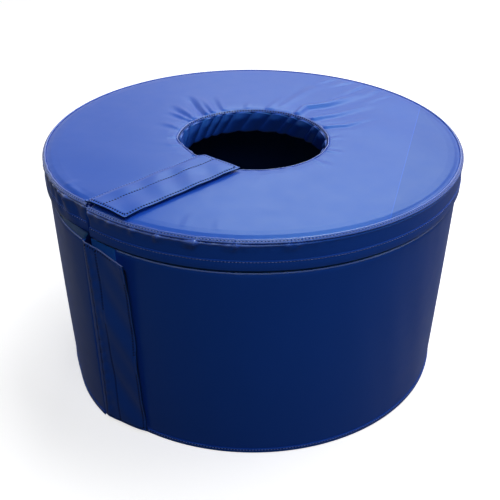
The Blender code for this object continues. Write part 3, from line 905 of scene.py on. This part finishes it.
def side_flap_form(along, share):
    """The ring's flap: waves, wrinkles by its seam, a curled corner, dents along its rows."""
    low, high = share * SIDE_FLAP_TALL, (1 - share) * SIDE_FLAP_TALL
    lift = 1.5 * MM * np.sin(share * 11 + along * 50) * smooth(8 * MM, 35 * MM, along)
    lift += 0.7 * MM * np.sin(share * 25 + along * 110 + 1) * smooth(10 * MM, 30 * MM, along)
    # Short slanting wrinkles between the seam and the tape's first row
    lift += 0.5 * MM * bell(along - 13 * MM, 8 * MM) * np.sin(share * 95 - along * 240)
    lift += 2.2 * MM * smooth(18 * MM, 0.0, high) * smooth(62 * MM, 76 * MM, along)
    seam = along - side_flap_seam(share)
    for away in (low - ROOT_ROW, high - ROOT_ROW, FREE_ROW - along,
                 along - TAPE_ROW_FOOT - (TAPE_ROW_TOP - TAPE_ROW_FOOT) * share):
        lift += row_dent(away)
    # The seam is a groove, with a soft ridge on its right. Left of it the flap goes on as
    # the ring's side does, and its root lies flush with that
    ridge = 0.6 * MM * bell(seam - 4 * MM, 3.5 * MM)
    flush = 1.9 * MM * np.clip(-seam / side_flap_seam(share), 0, 1)
    points = side_flap_place(along, share)
    points[..., 1] -= lift + ridge + row_dent(seam, 0.7 * MM) - flush
    return points


def grid_normals(points):
    normal = np.cross(np.gradient(points, axis=0), np.gradient(points, axis=1))
    return normal / np.linalg.norm(normal, axis=-1, keepdims=True)


def sheet_plan(width, rows, columns):
    """Distances over a sheet's width, and shares of its length, as two arrays."""
    return np.meshgrid(np.linspace(0, width, rows), np.linspace(0, 1, columns), indexing="ij")


# Stitching


def cloth_tree(*names):
    """The named pieces' surface, to lay thread on."""
    points, faces = [], []
    for name in names:
        mesh = bpy.data.objects[name].data
        base = len(points)
        points += [v.co.copy() for v in mesh.vertices]
        faces += [[base + i for i in face.vertices] for face in mesh.polygons]
    return BVHTree.FromPolygons(points, faces)


def even_steps(points, pitch):
    """Places along a line of points, one needle hole apart, and the last one."""
    run = np.concatenate([[0], np.cumsum(np.linalg.norm(np.diff(points, axis=0), axis=1))])
    at = np.linspace(0, run[-1], max(1, round(run[-1] / pitch)) + 1)
    return np.stack([np.interp(at, run, points[:, i]) for i in range(3)], 1)


def one_stitch():
    """A stitch's shape, one unit long and one thick, from a sphere primitive."""
    deselect()
    bpy.ops.mesh.primitive_uv_sphere_add(segments=6, ring_count=4, radius=0.5)
    stitch = bpy.context.active_object
    points = np.array([tuple(v.co) for v in stitch.data.vertices])
    points[:, 2] = np.sign(points[:, 2]) * np.abs(2 * points[:, 2]) ** 0.6 / 2
    faces = [tuple(face.vertices) for face in stitch.data.polygons]
    bpy.data.objects.remove(stitch)
    return points, faces


def sew(name, rows, tree, sizes):
    """Lays stitches on the cloth along rows of points.

    A sunk row has broad stitches painted dark as shade. A raised one has pale thread and a hole at
    each end painted dark as shade.
    Their widths and heights are shares of the thread's thickness.
    """
    shape, faces = one_stitch()
    points, polygons, slots = [], [], []
    thick, reach = sizes.thread, 6 * MM
    finishes = ("bonded_polyester_thread", "painted_shade_in_holes_and_edges", "thread_in_painted_shade")
    raised, hole, dark = range(len(finishes))

    def lay(start, end, width, height, sink, slot):
        spot, normal, _, away = tree.find_nearest((start + end) / 2)
        if spot is None or away > reach:
            return
        along = (end - start).normalized()
        along = (along - normal * along.dot(normal)).normalized()
        cross = normal.cross(along)
        base = len(points)
        middle = spot + normal * sink
        length = (end - start).length
        for x, y, z in shape:
            points.append(middle + cross * (x * width) + normal * (y * height)
                          + along * (z * length))
        polygons.extend(tuple(base + i for i in face) for face in faces)
        slots.extend([slot] * len(faces))

    for row, sunk in rows:
        holes = [Vector(p) for p in even_steps(row, sizes.stitch)]
        for start, end in zip(holes, holes[1:]):
            step = end - start
            if sunk:
                lay(start + step * 0.28, end - step * 0.28, thick * 2.9, thick * 0.7, 0.2 * MM,
                    dark)
                continue
            lay(start + step * 0.26, end - step * 0.26, thick * 0.85, thick * 0.7, thick * 0.1,
                raised)
            lay(start - step * 0.2, start + step * 0.2, thick * 1.2, thick * 0.3, 0.05 * MM, hole)
    mesh = bpy.data.meshes.new(name)
    mesh.from_pydata(points, [], polygons)
    piece = bpy.data.objects.new(name, mesh)
    bpy.context.scene.collection.objects.link(piece)
    for finish in finishes:
        mesh.materials.append(finish_named(finish))
    mesh.polygons.foreach_set("material_index", slots)
    mesh.polygons.foreach_set("use_smooth", [True] * len(polygons))
    mesh.update()
    return piece


def arc_row(side, radius, height, shift):
    """A row of points round a section, which ends 5 mm short of the split."""
    start, end = SIDES[side]
    lead = math.degrees(math.asin((SPLIT_EDGE + 5 * MM) / radius))
    azimuth = np.linspace(start + lead * (side == "right"), end - lead * (side == "left"), 240)
    height = np.full(azimuth.shape, height)
    return placed(radius + shift(azimuth, height), azimuth, height)


def flap_row(place, lift, *corners):
    """A row of points over a flap, from corner to corner, lifted on to its outer face."""
    points = []
    for (a0, s0), (a1, s1) in zip(corners, corners[1:]):
        share = np.linspace(0, 1, 80)
        points.append(place(a0 + (a1 - a0) * share, s0 + (s1 - s0) * share) + lift)
    return np.concatenate(points)


# Operators


class PAD_OT_materials(bpy.types.Operator):
    """Makes the cloth, thread and tape materials"""

    bl_idname = "pole_pad.materials"
    bl_label = "Materials"

    def execute(self, context):
        colours = context.scene.pad_colours
        vinyl, thread = colours.vinyl, colours.thread
        # A calendered PVC skin shows a satin shine and a fine pressed grain
        coated_cloth("coated_cloth_royal_blue", vinyl)
        # The lid's top is two widths of that cloth, welded together, with a painted highlight along
        # the weld and painted shade beyond it
        coated_cloth("lid_cloth_with_painted_weld_light", vinyl, weld=True)
        # The ring flap's folded upper edge is painted pale as a highlight
        coated_cloth("flap_edge_painted_highlight", colours.edge_highlight, roughness=0.4, grain=0.1,
                     dark=0.9, polish=0.6)
        # Rolled seams are rubbed smooth, and show the lamps as a pale line
        coated_cloth("rubbed_cloth_royal_blue", vinyl, grain=0.1, polish=1.0)
        # The hole's lining is the vinyl darkened to 70%, as painted shade inside the hole
        coated_cloth("hole_lining_painted_shade", [c * 0.7 for c in vinyl], roughness=0.4)
        # Inside the ring and under the lid the cloth is navy, and on the ring's top edge the navy
        # is painted shade under the lid
        coated_cloth("navy_cloth_and_painted_shade", colours.lining, roughness=0.45, dark=0.9)
        # Needle holes, and flap edges turned from the lamps, get near-black cloth as painted shade
        coated_cloth("painted_shade_in_holes_and_edges", [c * 0.12 for c in vinyl], roughness=0.7,
                     grain=0.1, dark=0.5)
        # Bonded thread, with painted highlights along its plies
        sewing_thread("bonded_polyester_thread", thread)
        # Rows drawn down into lit cloth lie in its shade, so their thread is painted near black as
        # that shade
        sewing_thread("thread_in_painted_shade", [c * 0.015 for c in thread], shine=0.05)
        # Brushed loops scatter light and look paler at their edges, with painted shade between
        # their tufts
        tape_cloth("brushed_nylon_loop_tape", colours.loop, tuft_mm=1.1, depth=0.9)
        # Moulded hooks stand in rows and look almost black between them, where the shade is painted
        # darker
        tape_cloth("woven_nylon_hook_tape", colours.hook, tuft_mm=1.4, depth=0.7)
        return {"FINISHED"}


class PAD_OT_lid(bpy.types.Operator):
    """Makes the lid's padded sections"""

    bl_idname = "pole_pad.lid"
    bl_label = "Lid"

    def execute(self, context):
        sizes = context.scene.pad_sizes
        line = lid_line()
        for side in SIDES:
            piece = pad_section(
                "lid_pad_" + side, side, line, 0.5, lambda r, a, z: lid_forms(r, a, z, sizes),
                lambda a, z, r: lid_end_shift(a, r), sizes.lid_end,
            )
            finished(piece, "lid_cloth_with_painted_weld_light", "navy_cloth_and_painted_shade",
                     "hole_lining_painted_shade")
            # The underside is navy, and the hole's lining carries painted shade
            for face in piece.data.polygons:
                middle = face.center
                radius = math.hypot(middle.x, middle.y)
                below = face.normal.z < -0.5 and radius < LID_RADIUS - 6 * MM
                in_hole = radius < HOLE_RADIUS + 0.5 * MM and middle.z < LID_TOP - 4.5 * MM
                face.material_index = 1 if below else 2 if in_hole else 0
            carried(piece, side, "lid", "lid_foam", "lid_top_panel", "lid_boxing",
                    "lid_underside_panel", "lid_hole_lining", "lid_end_panel")
        return {"FINISHED"}


class PAD_OT_ring(bpy.types.Operator):
    """Makes the ring's padded sections"""

    bl_idname = "pole_pad.ring"
    bl_label = "Ring"

    def execute(self, context):
        line = ring_line()
        for side in SIDES:
            piece = pad_section("ring_pad_" + side, side, line, 0.75, ring_forms, ring_spring,
                                context.scene.pad_sizes.ring_end)
            finished(piece, "coated_cloth_royal_blue", "navy_cloth_and_painted_shade")
            # The inside is navy, and the top edge is painted navy as shade under the lid's overhang
            for face in piece.data.polygons:
                middle = face.center
                inside = middle.x * face.normal.x + middle.y * face.normal.y < 0
                on_top = middle.z > WALL_TOP - 6.8 * MM
                face.material_index = 1 if on_top or inside and abs(face.normal.z) < 0.7 else 0
            carried(piece, side, "ring", "wall_foam", "wall_outer_panel", "wall_inner_panel",
                    "wall_top_border", "wall_bottom_border", "wall_end_panel")
        return {"FINISHED"}


class PAD_OT_seams(bpy.types.Operator):
    """Makes the rolled seams round the rim, the hole and the ring's top"""

    bl_idname = "pole_pad.seams"
    bl_label = "Seams"

    def execute(self, context):
        half, pitch = context.scene.pad_sizes.welt, context.scene.pad_sizes.stitch
        beads = (
            ("lid_rim_bead", "lid", "lid_rim_welt", 0.22, rim_shift,
             bead_line(LID_RADIUS - 1.9 * MM, LID_TOP - 3.7 * MM, half, flat=1.75,
                       groove=0.8 * MM, tilt=45),
             lambda a, z: rim_bead_swell(a, pitch)),
            ("lid_hole_bead", "lid", "lid_hole_welt", 0.5, hole_shift,
             bead_line(HOLE_RADIUS + 0.6 * MM, LID_TOP - 2.9 * MM, half * 0.75, flat=1.85,
                       groove=0.6 * MM, tilt=135),
             lambda a, z: hole_bead_swell(a, pitch)),
            ("ring_top_bead", "ring", "wall_top_welt", 0.22, ring_spring,
             bead_line(WALL_TOP_RADIUS - 0.9 * MM, WALL_TOP - 6.6 * MM, 0.7 * MM, flat=1.6,
                       groove=0.3 * MM, tilt=25),
             lambda a, z: pitched(a, WALL_TOP_RADIUS, pitch, 0.1 * MM)),
        )
        for name, part, node, step_deg, shift, line, swell in beads:
            for side in SIDES:
                piece = turned_band(f"{name}_{side}", side, line, step_deg, swell, shift,
                                    SPLIT_EDGE + 1.5 * MM)
                finished(piece, "rubbed_cloth_royal_blue")
                carried(piece, side, part, node)
        return {"FINISHED"}


class PAD_OT_bands(bpy.types.Operator):
    """Makes the doubled bands: the hem round the lid's lower edge, and the ring's foot band"""

    bl_idname = "pole_pad.bands"
    bl_label = "Bands"

    def execute(self, context):
        bands = (
            ("lid_hem_band_cloth", "lid", "lid_hem_band", LID_RADIUS, LID_BOTTOM - 0.3 * MM,
             14.0 * MM, 0.5, boxing_swell, rim_shift),
            ("ring_foot_band_cloth", "ring", "wall_foot_band", WALL_FOOT_RADIUS, 0.4 * MM,
             7.0 * MM, 1.1, wall_swell, ring_spring),
        )
        for name, part, node, radius, foot, tall, proud_mm, swell, shift in bands:
            line = closed_line([
                (radius, foot + tall, [(-0.5, 0, 0, 0), (proud_mm, -0.2, 0.3, 3)]),
                (radius, foot + tall / 2, [(proud_mm + 0.2, 0, 0, 0)]),
                (radius, foot, [(proud_mm, 0, 0.3, 3), (-0.5, 0, 0, 0)]),
            ])
            for side, (start, end) in SIDES.items():
                piece = turned_band(f"{name}_{side}", side, line, 0.5, swell, shift,
                                    SPLIT_EDGE + 2.0 * MM)
                finished(piece, "coated_cloth_royal_blue")
                carried(piece, side, part, node)
        return {"FINISHED"}


class PAD_OT_flaps(bpy.types.Operator):
    """Makes the two flaps, doubled and wavy, with their stitch rows drawn in"""

    bl_idname = "pole_pad.flaps"
    bl_label = "Flaps"

    def execute(self, context):
        on_lid = {"held": "laid", "rests_on": ["lid_pad_left", "lid_pad_right"]}
        flaps = (
            ("lid_flap_cloth", "lid_flap", "top_flap", TOP_FLAP_WIDTH, TOP_FLAP_LENGTH, 150,
             top_flap_form, 2, on_lid),
            ("ring_flap_cloth", "ring_flap", "side_flap", SIDE_FLAP_WIDTH, SIDE_FLAP_TALL, 230,
             side_flap_form, 1, {"held": "hung"}),
        )
        for name, body, node, width, length, columns, form, facing, hold in flaps:
            piece = wrapped_grid(name, form(*sheet_plan(width, 66, columns)))
            solidified(piece, DOUBLED, offset=1.0, rounding=0.6 * MM)
            finished(piece, "coated_cloth_royal_blue", "flap_edge_painted_highlight",
                     "painted_shade_in_holes_and_edges", angle=50)
            # Edges get painted shade, except the ring flap's upper edge, which gets a pale painted
            # highlight
            for face in piece.data.polygons:
                edge = 1 if facing == 1 and face.normal.z > 0.5 else 2
                face.material_index = edge if abs(face.normal[facing]) < 0.75 else 0
            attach(piece, body)
            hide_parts(node)
        return {"FINISHED"}


class PAD_OT_tapes(bpy.types.Operator):
    """Makes the hook and loop tapes under the flaps"""

    bl_idname = "pole_pad.tapes"
    bl_label = "Tapes"

    def execute(self, context):
        draw = np.random.default_rng(4)

        def on_lid(node):
            low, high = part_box(node)

            def place(along, share):
                x = low.x + along
                return np.stack([x, low.y + (high.y - low.y) * share, 0 * x + low.z], -1)
            return place

        def under_ring_flap(along, share):
            share = (HOOKS_FROM_ENDS + HOOKS_LENGTH * share) / SIDE_FLAP_TALL
            return side_flap_place(along + HOOKS_FROM_ROOT, share) + np.array([0, 1.8 * MM, 0])

        def on_ring(along, share):
            height = LOOPS_FOOT + LOOPS_LENGTH * share
            x = SPLIT_EDGE + 0.3 * MM + LOOPS_SHOWN * along
            radius = wall_radius(height) + 0.3 * MM
            radius = radius + wall_swell(np.degrees(np.arcsin(x / radius)) - 90, height)
            return np.stack([x, -np.sqrt(radius**2 - x**2), height], -1)

        finishes = {"hook": "woven_nylon_hook_tape", "loop": "brushed_nylon_loop_tape"}
        tapes = (
            ("lid_flap_hooks", "lid_flap", "top_hook_tape", "hook", LID_TAPE_WIDTH,
             LID_TAPE_LENGTH, on_lid("top_hook_tape"), 1.0),
            ("lid_loops", "lid_right", "top_loop_tape", "loop", LID_TAPE_WIDTH,
             LID_TAPE_LENGTH, on_lid("top_loop_tape"), 1.0),
            ("ring_flap_hooks", "ring_flap", "side_hook_tape", "hook", RING_TAPE_WIDTH,
             HOOKS_LENGTH, under_ring_flap, -1.0),
            ("ring_loops", "ring_right", "side_loop_tape", "loop", RING_TAPE_WIDTH,
             LOOPS_LENGTH, on_ring, 1.0),
        )
        for name, body, node, slot, width, length, place, way in tapes:
            points = place(*sheet_plan(width, 36, 110))
            rough = draw.uniform(-1, 1, points.shape[:2])[..., None] * 0.12 * MM
            piece = wrapped_grid(name, points + grid_normals(points) * rough)
            solidified(piece, TAPE, offset=way, rounding=0.3 * MM)
            finished(piece, finishes[slot], angle=60)
            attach(piece, body)
            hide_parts(node)
        return {"FINISHED"}


class PAD_OT_stitches(bpy.types.Operator):
    """Sews the rows of stitches on the lid, the ring and the flaps"""

    bl_idname = "pole_pad.stitches"
    bl_label = "Stitches"

    def execute(self, context):
        sizes = context.scene.pad_sizes
        for side in SIDES:
            tree = cloth_tree("lid_pad_" + side, "lid_hem_band_cloth_" + side,
                              "lid_hole_bead_" + side, "lid_rim_bead_" + side)
            rows = [
                (arc_row(side, LID_RADIUS - 1.2 * MM, LID_TOP - 3.0 * MM, rim_shift), False),
                (arc_row(side, LID_RADIUS + 0.7 * MM, LID_BOTTOM + 11.8 * MM, rim_shift), False),
                (arc_row(side, HOLE_RADIUS, LID_TOP - 2.3 * MM, hole_shift), True),
            ]
            carried(sew("lid_stitches_" + side, rows, tree, sizes), side, "lid")
            tree = cloth_tree("ring_foot_band_cloth_" + side)
            rows = [(arc_row(side, WALL_FOOT_RADIUS + 1.5 * MM, 5.6 * MM, ring_spring), False)]
            carried(sew("ring_stitches_" + side, rows, tree, sizes), side, "ring")

        def on_seam(along, share):
            return side_flap_place(side_flap_seam(share), share)

        low = EDGE_ROW / TOP_FLAP_LENGTH
        high, far = 1 - low, TOP_FLAP_WIDTH - EDGE_ROW
        up = np.array([0, 0, DOUBLED])
        top_rows = [
            (flap_row(top_flap_place, up, (ROOT_ROW, low), (far, low), (far, high),
                      (ROOT_ROW, high)), True),
            (flap_row(top_flap_place, up, (TAPE_ROW, low), (TAPE_ROW, high)), True),
            (flap_row(top_flap_place, up, (ROOT_ROW, low), (ROOT_ROW, high)), False),
        ]
        low = EDGE_ROW / SIDE_FLAP_TALL
        high = 1 - low
        out = np.array([0, -DOUBLED, 0])
        side_rows = [
            (flap_row(side_flap_place, out, (7 * MM, low), (FREE_ROW, low), (FREE_ROW, high),
                      (5 * MM, high)), True),
            (flap_row(side_flap_place, out, (TAPE_ROW_FOOT, low), (TAPE_ROW_TOP, high)), True),
            (flap_row(on_seam, out, (0, low), (0, high)), True),
        ]
        for flap, rows in (("lid_flap", top_rows), ("ring_flap", side_rows)):
            piece = sew(flap + "_stitches", rows, cloth_tree(flap + "_cloth"), sizes)
            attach(piece, flap)
        return {"FINISHED"}


def photo_camera():
    """The photograph's camera, fitted to the rim, the hole, the foot and the flaps."""
    data = bpy.data.cameras.new("photo_camera")
    data.lens = 60.53
    data.sensor_width = 36.0
    data.shift_y = 0.1
    camera = bpy.data.objects.new("photo_camera", data)
    bpy.context.scene.collection.objects.link(camera)
    place = Matrix.Translation(Vector(CAMERA_PLACE) * LID_RADIUS)
    for angle, axis in ((CAMERA_HEADING, "Z"), (CAMERA_TILT, "X"), (CAMERA_ROLL, "Z")):
        place = place @ Matrix.Rotation(math.radians(angle), 4, axis)
    camera.matrix_world = place
    bpy.context.scene.camera = camera


def softbox(name, power, azimuth, elevation, away, width, height):
    """A rectangular lamp that faces the lid, at two angles and a distance from it."""
    turn, rise = math.radians(azimuth), math.radians(elevation)
    way = Vector((math.cos(rise) * math.cos(turn), math.cos(rise) * math.sin(turn),
                  math.sin(rise)))
    data = bpy.data.lights.new(name, "AREA")
    data.shape = "RECTANGLE"
    data.size = width
    data.size_y = height
    data.energy = power
    lamp = bpy.data.objects.new(name, data)
    bpy.context.scene.collection.objects.link(lamp)
    facing = (-way).to_track_quat("-Z", "Y").to_matrix().to_4x4()
    lamp.matrix_world = Matrix.Translation(Vector((0, 0, 0.3)) + way * away) @ facing


def ground_seen(tree, in_shine):
    """1 where the camera sees the ground, straight or through glass, and its share in a shine."""
    path = add_node(tree, "ShaderNodeLightPath")
    shine = add_node(tree, "ShaderNodeMath", {0: (path, "Is Glossy Ray"), 1: in_shine},
                     operation="MULTIPLY")
    seen = (path, "Is Camera Ray")
    for other in ((shine, "Value"), (path, "Is Transmission Ray")):
        seen = (add_node(tree, "ShaderNodeMath", {0: seen, 1: other}, operation="MAXIMUM"),
                "Value")
    return seen


class PAD_OT_stage(bpy.types.Operator):
    """Makes the floor, the lamps, the room and the camera"""

    bl_idname = "pole_pad.stage"
    bl_label = "Stage"

    def execute(self, context):
        look = context.scene.stage_look
        photo_camera()
        deselect()
        bpy.ops.mesh.primitive_plane_add(size=40.0, location=(0, 0, 0))
        floor = context.active_object
        floor.name = "floor"
        # Seamless paper is matt. The cloth's shine shows a duller ground than the white one
        tree, shader = new_material("seamless_paper")
        seen = ground_seen(tree, look.shown)
        tint = add_node(tree, "ShaderNodeMix",
                        {"Factor": seen, "A": (*look.shade, 1.0), "B": (*look.floor, 1.0)},
                        data_type="RGBA")
        glow = add_node(tree, "ShaderNodeMapRange", {"Value": seen, "To Max": look.glow})
        feed(tree, shader, {"Base Color": (tint, "Result"), "Roughness": 1.0,
                            "Specular IOR Level": 0.0, "Emission Color": (1.0, 1.0, 1.0, 1.0),
                            "Emission Strength": (glow, "Result")})
        floor.data.materials.append(finish_named("seamless_paper"))
        # Azimuth and elevation in degrees, then distance, width and height in metres
        softbox("key_softbox", look.key, 125, 38, 2.6, 1.4, 0.9)
        softbox("upper_softbox", look.upper, 70, 71, 2.4, 1.5, 1.1)
        softbox("front_softbox", look.front, -38, 48, 2.6, 1.6, 1.6)
        softbox("side_softbox", look.side, 25, 25, 2.6, 1.2, 1.2)
        world = bpy.data.worlds.new("room")
        context.scene.world = world
        world.use_nodes = True
        tree = world.node_tree
        tree.nodes.clear()
        level = add_node(tree, "ShaderNodeMapRange",
                         {"Value": ground_seen(tree, 1.0), "To Min": look.fill, "To Max": 1.0})
        air = add_node(tree, "ShaderNodeBackground",
                       {"Strength": (level, "Result"), "Color": (1.0, 1.0, 1.0, 1.0)})
        add_node(tree, "ShaderNodeOutputWorld", {"Surface": (air, "Background")})
        context.scene.view_settings.view_transform = "Standard"
        return {"FINISHED"}


class PAD_PT_panel(bpy.types.Panel):
    """Lists the pad's steps in the order they are made"""

    bl_label = "Pole pad"
    bl_idname = "PAD_PT_panel"
    bl_space_type = "VIEW_3D"
    bl_region_type = "UI"
    bl_category = "Pole pad"

    def draw(self, context):
        for operator in OPERATORS:
            self.layout.operator(operator.bl_idname)


OPERATORS = (
    PAD_OT_materials, PAD_OT_lid, PAD_OT_ring, PAD_OT_seams, PAD_OT_bands, PAD_OT_flaps,
    PAD_OT_tapes, PAD_OT_stitches, PAD_OT_stage,
)
GROUPS = {"pad_sizes": PadSizes, "pad_colours": PadColours, "stage_look": StageLook}
CLASSES = (*GROUPS.values(), *OPERATORS, PAD_PT_panel)


def register():
    for kind in CLASSES:
        bpy.utils.register_class(kind)
    for name, group in GROUPS.items():
        setattr(bpy.types.Scene, name, PointerProperty(type=group))


def unregister():
    for name in GROUPS:
        delattr(bpy.types.Scene, name)
    for kind in reversed(CLASSES):
        bpy.utils.unregister_class(kind)


def main():
    register()
    for operator in OPERATORS:
        group, name = operator.bl_idname.split(".")
        getattr(getattr(bpy.ops, group), name)()


if __name__ == "__main__":
    main()
